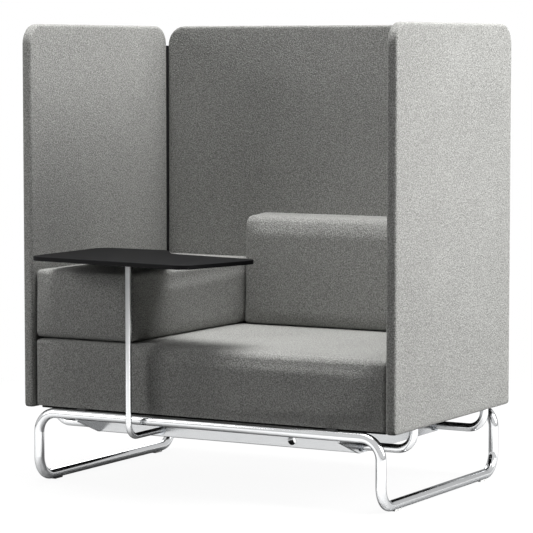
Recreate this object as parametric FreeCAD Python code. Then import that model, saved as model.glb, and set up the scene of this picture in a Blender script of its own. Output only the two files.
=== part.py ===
import FreeCAD
import Part
import math
import os

V = FreeCAD.Vector

# All sizes in millimetres. While it is built, X runs to the right of the chair, Y from the plane of
# the side panels' front edges to the back, and Z up from the floor.

# Panels
WIDTH = 1236.0              # over the outer faces of the side panels
SIDE_DEPTH = 770.0          # side panels, front to back
PANEL_TOP = 1360.0          # floor to the top edge of the panels
PANEL_BOTTOM = 224.0        # floor to the lower edge of the panels
PANEL_T = 34.0              # padded thickness
PANEL_PAD = 4.5             # padding and cover over the board on every side
PANEL_CORNER_R = 60.0       # upper corners
PANEL_FOOT_R = 10.0         # lower corners
PANEL_EDGE_R = 8.0          # soft rounding along all edges
BOARD_CORNER_R = 2.0        # least corner radius of the board inside

# Sled base
TUBE_D = 30.0
TUBE_WALL = 2.0
BEND_R = 60.0               # bend radius on the tube's axis
RAIL_Z = 211.5              # height of the rails' axis
RAIL_SETBACK = 9.0          # from the panels' front plane to the front rail's axis
SEAM_GAP = 0.2              # open joint between the two halves of the base
SPIGOT_L = 120.0
SPIGOT_SCREW_D = 6.0
SPIGOT_SCREW_PITCH = 70.0
SPIGOT_SCREW_SINK = 0.5     # end of the screw above the runner's underside
GLIDE_H = 2.0               # how far a glide holds the runner off the floor
GLIDE_W = 18.0
GLIDE_L = 40.0
GLIDE_PEG_D = 6.0
GLIDE_PEG_L = 7.0
GLIDE_FROM_BEND = 30.0      # from the end of the bend to the middle of the glide

# Beams under the seat
PLATE_T = 8.0
PLATE_INSET = 144.0         # from a side panel's inner face to the outer face of the side beam
PLATE_TOP_DROP = 9.0        # from the underside of the seat board to the top edge of a side beam
PLATE_LIP = 4.0             # depth of a side beam's end under the rail
PLATE_TAPER_L = 121.0       # from the rail's axis to the full depth of the beam
BEAM_Z = 166.0              # height of the cross beams' axis
BEAM_H = 40.0
BEAM_T = 30.0
BEAM_WALL = 2.0
BEAM_EDGE_R = 2.5
CROSS_Y = 148.0             # from the panels' front plane to the front cross beam's axis
SOCKET_INSET = 364.0        # from a side panel's inner face to a hole for the tablet arm
SOCKET_D = 25.4
SLEEVE_WALL = 2.8

# Posts that carry the side panels
POST_D = 25.0
POST_WALL = 2.0
POST_BEND_R = 50.0
POST_INSERT = 70.0          # length inside the cross beam
POST_RISE = 150.0           # length inside the panel
COLLAR_T = 7.0
COLLAR_WALL = 4.0
SHIM_L = 64.0
SHIM_OFF_AXIS = 6.25        # from the post's axis to the near edge of a shim
POST_SCREW_D = 8.0
POST_SCREW_IN = 30.0        # from the side beam to the set screw

# Corner angles between the panels
ANGLE_LEG = 30.0            # leg on the back panel
ANGLE_SIDE_LEG = 23.0       # leg on the side panel, clear of its rounded edge
ANGLE_T = 3.0
ANGLE_LIFT = 20.0           # from the panels' lower edge
ANGLE_TOP_DROP = 2.0        # below the start of the panels' upper corners
ANGLE_SCREWS = 3            # on each leg
CORNER_SCREW_D = 4.5
CORNER_HEAD_D = 9.0
CORNER_HEAD_H = 2.5
CORNER_SCREW_L = 36.0

# Seat
PAD_T = 3.5                 # rubber between the rail and the seat
PAD_L = 30.0
PAD_W = 18.0
PAD_GRIP = 7.0              # how far a pad reaches down the rail's sides
PAD_INSET = 25.0            # from the outer face of a side beam to the middle of a pad
SEAT_BOARD_T = 18.0
SEAT_PADDING = 12.0         # cover and padding over the board's edges
SEAT_FRONT = 5.0            # from the panels' front plane
SEAT_H = 204.0              # underside to the top of the crown
SEAT_CROWN = 6.0
SEAT_FRONT_SWELL = 3.0
SEAT_NOSE_R = 30.0
SEAT_END_R = 10.0
BATTEN_T = 8.0              # battens under the board, behind the rails
BATTEN_W = 30.0
BATTEN_OFF_RAIL = 6.0       # from the rail's tube to the batten
BRACKET_Y = 230.0           # from the panels' front and back planes
BRACKET_L = 40.0
BRACKET_REACH = 40.0
BRACKET_DROP = 35.0
BRACKET_T = 5.0
BOLT_D = 8.0
BOLT_HEAD_D = 15.0
BOLT_HEAD_H = 5.5
BOLT_GRIP = 14.0            # length of the bolt in the board

# Arm block
ARM_W = 343.0
ARM_TOP = 638.0
ARM_FRONT = 8.0             # from the panels' front plane
ARM_CROWN = 4.0
ARM_DRAW_IN = 2.0
ARM_EDGE_R = 18.0
ARM_PADDING = 24.0          # foam over the arm's inner frame
ARM_FRAME_T = 15.0

# Backrest block
BACK_T = 124.0
BACK_TOP = 776.0
BACK_SWELL = 8.0
BACK_TOP_R = 48.0
BACK_FOOT_R = 23.0
BACK_EDGE_R = 22.0
BACK_BOARD_T = 22.0
BACK_BOARD_COVER = 8.0      # padding behind the board
BACK_PADDING = 26.0         # padding around the board's edges

# Pins that locate the blocks on the seat board
PIN_D = 12.0
PIN_BOARD_DEPTH = 14.0
PIN_BACK_DEPTH = 40.0
ARM_PIN_INSET = 160.0       # from the arm frame's front and back ends
BACK_PINS = 3
BACK_PIN_INSET = 110.0      # from the ends of the backrest's board

# Tablet and its arm
POST_Y = -45.0              # axis of the tablet's post, in front of the panels' front plane
ARM_TUBE_D = 18.0
ARM_TUBE_WALL = 2.5
ARM_BEND_R = 42.0
ARM_TAIL = 8.0              # length behind the cross beam
ARM_SCREW_D = 6.0
BUSH_LIP = 2.5
BUSH_LIP_T = 2.5
END_PLUG_T = 3.0
END_PLUG_L = 15.0
TABLET_TOP = 685.0
TABLET_T = 12.5
TABLET_EDGE_R = 2.0
TABLET_LEFT = 303.0         # from the post's axis to the left edge
TABLET_BACK = 330.0         # from the post's axis to the back edge over the arm
TABLET_LEFT_FRONT = 67.0    # front edge at the left corner, in front of the axis
TABLET_PAD_W = 238.0        # width of the wide stretch along its back edge
TABLET_WAIST_X = 12.0       # inner corner, from the axis
TABLET_WAIST_Y = 220.0
TABLET_TIP_X = 347.0        # right back corner, from the axis
TABLET_TIP_Y = 158.0
TABLET_NOSE_X = 272.0       # right front corner, from the axis
TABLET_NOSE_Y = 139.0
TABLET_CORNER_R = 50.0
TABLET_BACK_R = 40.0
TABLET_WAIST_R = 90.0
SPINDLE_D = 10.0
SPINDLE_L = 60.0
SPINDLE_FIT = 0.05          # radial, running
SWIVEL_GAP = 0.25           # between the flange and the swivel bush
SWIVEL_BUSH_L = 66.0
SWIVEL_LIP_T = 3.0
FLANGE_D = 90.0
FLANGE_T = 5.0
FLANGE_SCREWS = 4
FLANGE_SCREW_R = 34.0
TABLET_SCREW_D = 4.0
TABLET_SCREW_HEAD_D = 8.0
TABLET_SCREW_HEAD_H = 2.0
TABLET_SCREW_GRIP = 9.0     # length of the screw in the tablet

# Clearances
SOFT_GAP = 0.5              # between padded pieces and their neighbours
CORE_GAP = 0.3              # between a board and the padding around it
WELD_GAP = 0.1              # between a round tube and what is welded to it
HOLE_GAP = 0.2              # around tubes and pins in their holes
SCREW_GAP = 0.05            # around the shanks of screws
PICK = 1.0                  # margin when edges are picked by place

# Places that follow from the sizes
half_w = WIDTH / 2
inner_x = half_w - PANEL_T
panel_mid_x = half_w - PANEL_T / 2
back_y = SIDE_DEPTH + PANEL_T
tube_r = TUBE_D / 2
leg_x = inner_x - tube_r
front_y = RAIL_SETBACK
rear_y = SIDE_DEPTH - RAIL_SETBACK
middle_y = SIDE_DEPTH / 2
runner_z = GLIDE_H + tube_r
plate_out_x = inner_x - PLATE_INSET
plate_in_x = plate_out_x - PLATE_T
socket_x = inner_x - SOCKET_INSET
beam_y = (CROSS_Y, SIDE_DEPTH - CROSS_Y)
post_r = POST_D / 2
seat_z = RAIL_Z + tube_r + PAD_T
seat_top = seat_z + SEAT_H
block_x = inner_x - SOFT_GAP
block_y = SIDE_DEPTH - SOFT_GAP
arm_right = -block_x + ARM_W
back_left = arm_right + SOFT_GAP
back_front = block_y - BACK_T
tablet_z = TABLET_TOP - TABLET_T
flange_z = tablet_z - FLANGE_T
bush_top = flange_z - SWIVEL_GAP
post_top = bush_top - SWIVEL_LIP_T
arm_r = ARM_TUBE_D / 2
socket_r = SOCKET_D / 2
spindle_r = SPINDLE_D / 2


def box(x0, x1, y0, y1, z0, z1):
    """Box between two values on each axis."""
    return Part.makeBox(x1 - x0, y1 - y0, z1 - z0, V(x0, y0, z0))


def rod(start, direction, radius, length):
    """Round bar from a point along a direction."""
    return Part.makeCylinder(radius, length, start, direction)


def corner_points(before, corner, after, radius):
    """Start, middle and end of the arc that rounds one corner of a path."""
    to_before = (before - corner).normalize()
    to_after = (after - corner).normalize()
    half = math.acos(max(-1.0, min(1.0, to_before.dot(to_after)))) / 2
    reach = radius / math.tan(half)
    inward = (to_before + to_after).normalize()
    centre = corner + inward * (radius / math.sin(half))
    return corner + to_before * reach, centre - inward * radius, corner + to_after * reach


def rounded_path(points, radius):
    """Open path of straight runs joined by tangent arcs of one radius."""
    edges = []
    last = points[0]
    for i in range(1, len(points) - 1):
        a, m, b = corner_points(points[i - 1], points[i], points[i + 1], radius)
        edges.append(Part.LineSegment(last, a).toShape())
        edges.append(Part.Arc(a, m, b).toShape())
        last = b
    edges.append(Part.LineSegment(last, points[-1]).toShape())
    return Part.Wire(edges)


def rounded_face(points, radii):
    """Flat face with straight sides and its own radius at each corner."""
    count = len(points)
    corners = []
    for i in range(count):
        corners.append(corner_points(points[i - 1], points[i], points[(i + 1) % count], radii[i]))
    edges = []
    for i in range(count):
        a, m, b = corners[i]
        edges.append(Part.Arc(a, m, b).toShape())
        edges.append(Part.LineSegment(b, corners[(i + 1) % count][0]).toShape())
    return Part.Face(Part.Wire(edges))


def polygon(points):
    """Flat face with straight sides."""
    return Part.Face(Part.makePolygon(points + [points[0]]))


def bar_along(points, bend, radius):
    """Round bar along a path of straight runs and bends."""
    path = rounded_path(points, bend)
    ring = Part.Wire([Part.Edge(Part.Circle(points[0], points[1] - points[0], radius))])
    return path.makePipeShell([ring], True, False)


def tube_along(points, bend, radius, wall):
    """Round tube along a path of straight runs and bends, open at both ends."""
    return bar_along(points, bend, radius).cut(bar_along(points, bend, radius - wall))


def edges_in(shape, test):
    """Edges whose middle passes a test."""
    return [edge for edge in shape.Edges if test(edge.CenterOfMass, edge)]


def near(value, target):
    """True where two lengths are the same for the purpose of picking an edge."""
    return abs(value - target) < 0.01


def group(shapes):
    """Several separate solids of one kind."""
    return Part.makeCompound(shapes)


def mirror_x(shape):
    """The same piece on the other side of the chair."""
    return shape.mirror(V(0, 0, 0), V(1, 0, 0))


# Sled base: two halves, each a rail, two legs and two half runners, joined in the runners.
def base_half(rail_y, seam_y):
    points = [V(leg_x, seam_y, runner_z), V(leg_x, rail_y, runner_z), V(leg_x, rail_y, RAIL_Z)]
    points += [V(-p.x, p.y, p.z) for p in reversed(points)]
    return tube_along(points, BEND_R, tube_r, TUBE_WALL)


spigot_r = tube_r - TUBE_WALL - WELD_GAP
spigot_screw_r = SPIGOT_SCREW_D / 2
glide_ends = (front_y + BEND_R + GLIDE_FROM_BEND, rear_y - BEND_R - GLIDE_FROM_BEND)
screw_ys = (middle_y - SPIGOT_SCREW_PITCH / 2, middle_y + SPIGOT_SCREW_PITCH / 2)
spigots = []
spigot_screws = []
spigot_holes = []
glides = []
glide_holes = []
for side in (-1, 1):
    x = side * leg_x
    spigot = rod(V(x, middle_y - SPIGOT_L / 2, runner_z), V(0, 1, 0), spigot_r, SPIGOT_L)
    for y in screw_ys:
        low = V(x, y, GLIDE_H + SPIGOT_SCREW_SINK)
        length = runner_z - low.z
        spigot_screws.append(rod(low, V(0, 0, 1), spigot_screw_r, length))
        hole = rod(V(x, y, 0), V(0, 0, 1), spigot_screw_r + SCREW_GAP, low.z + length)
        spigot_holes.append(hole)
        spigot = spigot.cut(hole)
    spigots.append(spigot)
    for y in glide_ends:
        pad = box(x - GLIDE_W / 2, x + GLIDE_W / 2, y - GLIDE_L / 2, y + GLIDE_L / 2, 0, runner_z)
        pad = pad.cut(rod(V(x, y - GLIDE_L, runner_z), V(0, 1, 0), tube_r + WELD_GAP, 2 * GLIDE_L))
        peg = rod(V(x, y, GLIDE_H / 2), V(0, 0, 1), GLIDE_PEG_D / 2, GLIDE_PEG_L)
        glides.append(pad.fuse(peg).removeSplitter())
        glide_holes.append(rod(V(x, y, 0), V(0, 0, 1), GLIDE_PEG_D / 2 + WELD_GAP, runner_z))

base_holes = group(spigot_holes + glide_holes)
front_frame = base_half(front_y, middle_y - SEAM_GAP / 2).cut(base_holes)
rear_frame = base_half(rear_y, middle_y + SEAM_GAP / 2).cut(base_holes)

# Side beams: plates on edge from rail to rail, deep in the middle, with the posts passing through.
beam_low = BEAM_Z - BEAM_H / 2
plate_top = seat_z - PLATE_TOP_DROP
plate_end = RAIL_Z - tube_r - PLATE_LIP


def side_beam(x0):
    outline = [V(x0, front_y, plate_top), V(x0, front_y, plate_end)]
    outline += [V(x0, front_y + PLATE_TAPER_L, beam_low), V(x0, rear_y - PLATE_TAPER_L, beam_low)]
    outline += [V(x0, rear_y, plate_end), V(x0, rear_y, plate_top)]
    plate = polygon(outline).extrude(V(PLATE_T, 0, 0))
    for y in (front_y, rear_y):
        plate = plate.cut(rod(V(x0, y, RAIL_Z), V(1, 0, 0), tube_r + WELD_GAP, PLATE_T))
    for y in beam_y:
        plate = plate.cut(rod(V(x0, y, BEAM_Z), V(1, 0, 0), post_r + HOLE_GAP, PLATE_T))
    return plate


right_beam = side_beam(plate_in_x)
left_beam = side_beam(-plate_out_x)

# Cross beams: rectangular tubes between the side beams; the front one has two lined sockets.
sleeve_r = socket_r + SLEEVE_WALL
post_screw_x = plate_in_x - POST_SCREW_IN
post_screw_r = POST_SCREW_D / 2
arm_screw_r = ARM_SCREW_D / 2


def cross_beam(y):
    y0 = y - BEAM_T / 2
    bar = box(-plate_in_x, plate_in_x, y0, y0 + BEAM_T, beam_low, beam_low + BEAM_H)
    along = edges_in(bar, lambda c, e: near(c.x, 0))
    bar = bar.makeFillet(BEAM_EDGE_R, along)
    w = BEAM_WALL
    hollow = box(-plate_in_x, plate_in_x, y0 + w, y0 + BEAM_T - w, beam_low + w, beam_low + BEAM_H - w)
    bar = bar.cut(hollow)
    for x in (-post_screw_x, post_screw_x):
        bar = bar.cut(rod(V(x, y, beam_low), V(0, 0, 1), post_screw_r + SCREW_GAP, BEAM_WALL))
    return bar


rear_cross = cross_beam(beam_y[1])
front_cross = cross_beam(beam_y[0])
sleeves = []
for x in (-socket_x, socket_x):
    start = V(x, CROSS_Y - BEAM_T / 2, BEAM_Z)
    sleeve = rod(start, V(0, 1, 0), sleeve_r, BEAM_T).cut(rod(start, V(0, 1, 0), socket_r, BEAM_T))
    screw_way = rod(V(x, CROSS_Y, beam_low), V(0, 0, 1), arm_screw_r + SCREW_GAP, BEAM_H / 2)
    sleeves.append(sleeve.cut(screw_way))
    front_cross = front_cross.cut(rod(start, V(0, 1, 0), sleeve_r + WELD_GAP, BEAM_T))
    front_cross = front_cross.cut(screw_way)

# Posts of the side panels, held in the cross beams' ends by shims and set screws.
right_posts = []
shims = []
collars = []
post_screws = []
for y in beam_y:
    points = [V(plate_in_x - POST_INSERT, y, BEAM_Z), V(panel_mid_x, y, BEAM_Z)]
    points += [V(panel_mid_x, y, PANEL_BOTTOM + POST_RISE)]
    right_posts.append(tube_along(points, POST_BEND_R, post_r, POST_WALL))
    collar_r = post_r + HOLE_GAP
    collar = rod(V(plate_out_x, y, BEAM_Z), V(1, 0, 0), collar_r + COLLAR_WALL, COLLAR_T)
    collars.append(collar.cut(rod(V(plate_out_x, y, BEAM_Z), V(1, 0, 0), collar_r, COLLAR_T)))
    shim_x = plate_in_x - SHIM_L
    shim_w = BEAM_T / 2 - BEAM_WALL - HOLE_GAP
    shim_h = BEAM_H / 2 - BEAM_WALL - WELD_GAP
    tip = BEAM_Z - post_r - WELD_GAP
    post_screws.append(rod(V(post_screw_x, y, beam_low), V(0, 0, 1), post_screw_r, tip - beam_low))
    post_way = rod(V(shim_x, y, BEAM_Z), V(1, 0, 0), post_r + WELD_GAP, SHIM_L)
    screw_way = rod(V(post_screw_x, y, beam_low), V(0, 0, 1), post_screw_r + SCREW_GAP, BEAM_H / 2)
    for z0, z1 in ((-shim_h, -SHIM_OFF_AXIS), (SHIM_OFF_AXIS, shim_h)):
        shim = box(shim_x, plate_in_x, y - shim_w, y + shim_w, BEAM_Z + z0, BEAM_Z + z1)
        shims.append(shim.cut(post_way).cut(screw_way))
left_posts = [mirror_x(post) for post in right_posts]
shims += [mirror_x(shim) for shim in shims]
collars += [mirror_x(collar) for collar in collars]
post_screws += [mirror_x(screw) for screw in post_screws]

# Panels: a board inside a padded cover with large upper corners and soft edges.
panel_radii = [PANEL_FOOT_R, PANEL_FOOT_R, PANEL_CORNER_R, PANEL_CORNER_R]


def panel_body(u0, u1, inset, place, out):
    """Upright board between two values along its length, drawn in by an inset on every edge."""
    z0 = PANEL_BOTTOM + inset
    z1 = PANEL_TOP - inset
    corners = [(u0 + inset, z0), (u1 - inset, z0), (u1 - inset, z1), (u0 + inset, z1)]
    radii = [max(r - inset, BOARD_CORNER_R) for r in panel_radii]
    return rounded_face([place(u, z) for u, z in corners], radii).extrude(out)


def soft_edges(body, axis, low, high):
    """Round all edges around the two large faces of a panel."""
    rims = edges_in(body, lambda c, e: near(c[axis], low) or near(c[axis], high))
    return body.makeFillet(PANEL_EDGE_R, rims)


def side_panel():
    body = panel_body(0, SIDE_DEPTH, 0, lambda u, z: V(inner_x, u, z), V(PANEL_T, 0, 0))
    cover = soft_edges(body, 0, inner_x, half_w)
    x0 = inner_x + PANEL_PAD
    board_t = PANEL_T - 2 * PANEL_PAD
    core = panel_body(0, SIDE_DEPTH, PANEL_PAD, lambda u, z: V(x0, u, z), V(board_t, 0, 0))
    g = CORE_GAP
    deep = V(board_t + 2 * g, 0, 0)
    room = panel_body(0, SIDE_DEPTH, PANEL_PAD - g, lambda u, z: V(x0 - g, u, z), deep)
    cover = cover.cut(room)
    for y in beam_y:
        way = rod(V(panel_mid_x, y, PANEL_BOTTOM), V(0, 0, 1), post_r + HOLE_GAP, POST_RISE)
        cover = cover.cut(way)
        half_slot = post_r + HOLE_GAP
        top = PANEL_BOTTOM + POST_RISE + HOLE_GAP
        core = core.cut(box(inner_x, half_w, y - half_slot, y + half_slot, PANEL_BOTTOM, top))
    return core, cover


def back_panel():
    y0 = SIDE_DEPTH
    body = panel_body(-inner_x, inner_x, 0, lambda u, z: V(u, y0, z), V(0, PANEL_T, 0))
    cover = soft_edges(body, 1, y0, back_y)
    y1 = y0 + PANEL_PAD
    board_t = PANEL_T - 2 * PANEL_PAD
    core = panel_body(-inner_x, inner_x, PANEL_PAD, lambda u, z: V(u, y1, z), V(0, board_t, 0))
    g = CORE_GAP
    deep = V(0, board_t + 2 * g, 0)
    room = panel_body(-inner_x, inner_x, PANEL_PAD - g, lambda u, z: V(u, y1 - g, z), deep)
    return core, cover.cut(room)


right_core, right_cover = side_panel()
back_core, back_cover = back_panel()

# Corner angles in the notches between the panels, screwed to the boards' ends.
angle_z0 = PANEL_BOTTOM + ANGLE_LIFT
angle_z1 = PANEL_TOP - PANEL_CORNER_R - ANGLE_TOP_DROP
ax = inner_x + CORE_GAP
ay = SIDE_DEPTH + CORE_GAP
angle = box(ax, ax + ANGLE_SIDE_LEG, ay, ay + ANGLE_T, angle_z0, angle_z1)
angle = angle.fuse(box(ax, ax + ANGLE_T, ay, ay + ANGLE_LEG, angle_z0, angle_z1)).removeSplitter()
back_mid_y = SIDE_DEPTH + PANEL_T / 2
corner_screws = []
screw_ways = []
for i in range(ANGLE_SCREWS):
    z = angle_z0 + (angle_z1 - angle_z0) * (i + 0.5) / ANGLE_SCREWS
    into_side = (V(panel_mid_x, ay + ANGLE_T, z), V(0, -1, 0))
    into_back = (V(ax + ANGLE_T, back_mid_y, z), V(-1, 0, 0))
    for seat, inward in (into_side, into_back):
        shank = rod(seat, inward, CORNER_SCREW_D / 2, CORNER_SCREW_L)
        head = rod(seat, -inward, CORNER_HEAD_D / 2, CORNER_HEAD_H)
        corner_screws.append(shank.fuse(head).removeSplitter())
        screw_ways.append(rod(seat, inward, CORNER_SCREW_D / 2 + SCREW_GAP, CORNER_SCREW_L))
right_ways = group(screw_ways)
angle = angle.cut(right_ways)
right_core = right_core.cut(right_ways)
right_cover = right_cover.cut(right_ways)
both_ways = group(screw_ways + [mirror_x(way) for way in screw_ways])
back_core = back_core.cut(both_ways)
back_cover = back_cover.cut(both_ways)
corner_screws += [mirror_x(screw) for screw in corner_screws]

# Seat: board on rubber pads and brackets, under a crowned block with a rounded nose.
pad_x = plate_out_x - PAD_INSET
seat_pads = []
for y in (front_y, rear_y):
    for x in (-pad_x, pad_x):
        low = RAIL_Z + tube_r - PAD_GRIP
        pad = box(x - PAD_L / 2, x + PAD_L / 2, y - PAD_W / 2, y + PAD_W / 2, low, seat_z)
        seat_pads.append(pad.cut(rod(V(x - PAD_L, y, RAIL_Z), V(1, 0, 0), tube_r + WELD_GAP, 2 * PAD_L)))

seat_board = box(-block_x + SEAT_PADDING, block_x - SEAT_PADDING, SEAT_FRONT + SEAT_PADDING,
                 block_y - SEAT_PADDING, seat_z, seat_z + SEAT_BOARD_T)
batten_y = front_y + tube_r + BATTEN_OFF_RAIL
battens = []
for y0 in (batten_y, SIDE_DEPTH - batten_y - BATTEN_W):
    half = block_x - SEAT_PADDING
    battens.append(box(-half, half, y0, y0 + BATTEN_W, seat_z - BATTEN_T, seat_z))
brackets = []
bolts = []
for y in (BRACKET_Y, SIDE_DEPTH - BRACKET_Y):
    y0 = y - BRACKET_L / 2
    y1 = y + BRACKET_L / 2
    leaf = box(plate_in_x - BRACKET_T, plate_in_x, y0, y1, seat_z - BRACKET_DROP, seat_z)
    shelf = box(plate_in_x - BRACKET_REACH, plate_in_x, y0, y1, seat_z - BRACKET_T, seat_z)
    under = V(plate_in_x - BRACKET_REACH / 2, y, seat_z - BRACKET_T)
    way = rod(under, V(0, 0, 1), BOLT_D / 2 + SCREW_GAP, BRACKET_T + BOLT_GRIP)
    brackets.append(leaf.fuse(shelf).removeSplitter().cut(way))
    shank = rod(under, V(0, 0, 1), BOLT_D / 2, BRACKET_T + BOLT_GRIP)
    head = rod(under, V(0, 0, -1), BOLT_HEAD_D / 2, BOLT_HEAD_H)
    bolts.append(shank.fuse(head).removeSplitter())
    seat_board = seat_board.cut(way).cut(mirror_x(way))
brackets += [mirror_x(bracket) for bracket in brackets]
bolts += [mirror_x(bolt) for bolt in bolts]

seat_mid = (SEAT_FRONT + block_y) / 2
nose_y = SEAT_FRONT + SEAT_FRONT_SWELL
edge_z = seat_top - SEAT_CROWN


def crowned_profile(x, lift):
    """Side view of the seat block: flat underside, swelling front and crowned top."""
    a = V(x, nose_y, seat_z)
    b = V(x, nose_y, edge_z + lift)
    c = V(x, block_y, edge_z + lift)
    d = V(x, block_y, seat_z)
    front = Part.Arc(a, V(x, SEAT_FRONT, (seat_z + edge_z) / 2), b).toShape()
    top = Part.Arc(b, V(x, seat_mid, seat_top + lift), c).toShape()
    return Part.Face(Part.Wire([front, top, Part.makeLine(c, d), Part.makeLine(d, a)]))


seat_block = crowned_profile(-block_x, 0).extrude(V(2 * block_x, 0, 0))
nose = edges_in(seat_block, lambda c, e: near(c.y, nose_y) and near(c.z, edge_z))
seat_block = seat_block.makeFillet(SEAT_NOSE_R, nose)
ends = edges_in(seat_block, lambda c, e: near(abs(c.x), block_x))
ends = [edge for edge in ends if edge.CenterOfMass.z > seat_z + PICK and edge.CenterOfMass.y < block_y - PICK]
seat_block = seat_block.makeFillet(SEAT_END_R, ends)
g = CORE_GAP
board_room = box(-block_x + SEAT_PADDING - g, block_x - SEAT_PADDING + g, SEAT_FRONT + SEAT_PADDING - g,
                 block_y - SEAT_PADDING + g, seat_z, seat_z + SEAT_BOARD_T + g)
seat_cushion = seat_block.cut(board_room)
seat_below = crowned_profile(-WIDTH, SOFT_GAP).extrude(V(2 * WIDTH, 0, 0))

# Arm block on the seat, against the left panel, over a hollow frame.
arm_edge_z = ARM_TOP - ARM_CROWN
arm_mid_z = (seat_top + ARM_TOP) / 2
arm_mid_x = (arm_right - block_x) / 2
p = [V(-block_x, ARM_FRONT, seat_z), V(-block_x, ARM_FRONT, arm_edge_z)]
p += [V(arm_right, ARM_FRONT, arm_edge_z), V(arm_right, ARM_FRONT, seat_z)]
arm_sides = [Part.makeLine(p[0], p[1])]
arm_sides.append(Part.Arc(p[1], V(arm_mid_x, ARM_FRONT, ARM_TOP), p[2]).toShape())
arm_sides.append(Part.Arc(p[2], V(arm_right - ARM_DRAW_IN, ARM_FRONT, arm_mid_z), p[3]).toShape())
arm_sides.append(Part.makeLine(p[3], p[0]))
arm_block = Part.Face(Part.Wire(arm_sides)).extrude(V(0, block_y - ARM_FRONT, 0)).cut(seat_below)
arm_rims = edges_in(arm_block, lambda c, e: c.y < block_y - PICK and c.z > seat_top + PICK)
arm_block = arm_block.makeFillet(ARM_EDGE_R, arm_rims)
arm_x0 = -block_x + ARM_PADDING
arm_x1 = arm_right - ARM_PADDING
arm_y0 = ARM_FRONT + ARM_PADDING
arm_y1 = block_y - ARM_PADDING
arm_z0 = seat_top + ARM_PADDING / 2
arm_z1 = arm_edge_z - ARM_PADDING
t = ARM_FRAME_T
arm_core = box(arm_x0, arm_x1, arm_y0, arm_y1, arm_z0, arm_z1)
arm_core = arm_core.cut(box(arm_x0 + t, arm_x1 - t, arm_y0 + t, arm_y1 - t, arm_z0 + t, arm_z1 - t))
arm_room = box(arm_x0 - g, arm_x1 + g, arm_y0 - g, arm_y1 + g, arm_z0 - g, arm_z1 + g)
arm_cushion = arm_block.cut(arm_room)

# Backrest block between the arm block and the right panel, over a board.
back_low = seat_top + SOFT_GAP
back_outline = [V(back_left, block_y, back_low), V(block_x, block_y, back_low)]
back_outline += [V(block_x, block_y, BACK_TOP), V(back_left, block_y, BACK_TOP)]
back_radii = [BACK_FOOT_R, BACK_FOOT_R, BACK_TOP_R, BACK_TOP_R]
back_block = rounded_face(back_outline, back_radii).extrude(V(0, -BACK_T, 0))
back_mid_x = (back_left + block_x) / 2
back_mid_z = (seat_top + BACK_TOP) / 2
half_span = math.hypot(block_x - back_mid_x, BACK_TOP - back_mid_z)
swell_r = (half_span ** 2 + BACK_SWELL ** 2) / (2 * BACK_SWELL)
swell = Part.makeSphere(swell_r, V(back_mid_x, back_front + swell_r, back_mid_z))
back_block = back_block.common(swell)
back_rims = edges_in(back_block, lambda c, e: c.y < back_front + BACK_SWELL + PICK)
back_block = back_block.makeFillet(BACK_EDGE_R, back_rims)
bx0 = back_left + BACK_PADDING
bx1 = block_x - BACK_PADDING
by1 = block_y - BACK_BOARD_COVER
by0 = by1 - BACK_BOARD_T
bz0 = seat_top + BACK_PADDING / 2
bz1 = BACK_TOP - BACK_PADDING
back_board = box(bx0, bx1, by0, by1, bz0, bz1)
back_cushion = back_block.cut(box(bx0 - g, bx1 + g, by0 - g, by1 + g, bz0 - g, bz1 + g))

# Pins from the seat board up into the arm's frame and the backrest's board.
pin_z = seat_z + SEAT_BOARD_T - PIN_BOARD_DEPTH
pin_tops = []
for y in (arm_y0 + ARM_PIN_INSET, arm_y1 - ARM_PIN_INSET):
    pin_tops.append(V((arm_x0 + arm_x1) / 2, y, arm_z0 + ARM_FRAME_T))
for i in range(BACK_PINS):
    x = bx0 + BACK_PIN_INSET + (bx1 - bx0 - 2 * BACK_PIN_INSET) * i / (BACK_PINS - 1)
    pin_tops.append(V(x, (by0 + by1) / 2, bz0 + PIN_BACK_DEPTH))
pins = []
pin_ways = []
for top in pin_tops:
    low = V(top.x, top.y, pin_z)
    pins.append(rod(low, V(0, 0, 1), PIN_D / 2, top.z - pin_z))
    pin_ways.append(rod(low, V(0, 0, 1), PIN_D / 2 + HOLE_GAP, top.z - pin_z))
pin_ways = group(pin_ways)
seat_board = seat_board.cut(pin_ways)
seat_cushion = seat_cushion.cut(pin_ways)
arm_core = arm_core.cut(pin_ways)
arm_cushion = arm_cushion.cut(pin_ways)
back_board = back_board.cut(pin_ways)
back_cushion = back_cushion.cut(pin_ways)

# Tablet arm: a tube from the left socket, forward under the rail and up in front of the seat.
axis_x = -socket_x
beam_front = CROSS_Y - BEAM_T / 2
tail_y = CROSS_Y + BEAM_T / 2 + ARM_TAIL
arm_points = [V(axis_x, tail_y, BEAM_Z), V(axis_x, POST_Y, BEAM_Z), V(axis_x, POST_Y, post_top)]
table_arm = tube_along(arm_points, ARM_BEND_R, arm_r, ARM_TUBE_WALL)
arm_bore_r = arm_r - ARM_TUBE_WALL
bush_r = socket_r - WELD_GAP
bush_start = V(axis_x, beam_front, BEAM_Z)
socket_bush = rod(bush_start, V(0, 1, 0), bush_r, BEAM_T)
socket_bush = socket_bush.fuse(rod(bush_start, V(0, -1, 0), socket_r + BUSH_LIP, BUSH_LIP_T))
bush_hole = rod(bush_start - V(0, BUSH_LIP_T, 0), V(0, 1, 0), arm_r + SCREW_GAP, BEAM_T + BUSH_LIP_T)
arm_screw_way = rod(V(axis_x, CROSS_Y, beam_low), V(0, 0, 1), arm_screw_r + SCREW_GAP, BEAM_H / 2)
socket_bush = socket_bush.removeSplitter().cut(bush_hole).cut(arm_screw_way)
arm_screw_l = BEAM_Z - arm_r - WELD_GAP - beam_low
arm_screw = rod(V(axis_x, CROSS_Y, beam_low), V(0, 0, 1), arm_screw_r, arm_screw_l)
end_plug = rod(V(axis_x, tail_y, BEAM_Z), V(0, 1, 0), arm_r, END_PLUG_T)
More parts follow.
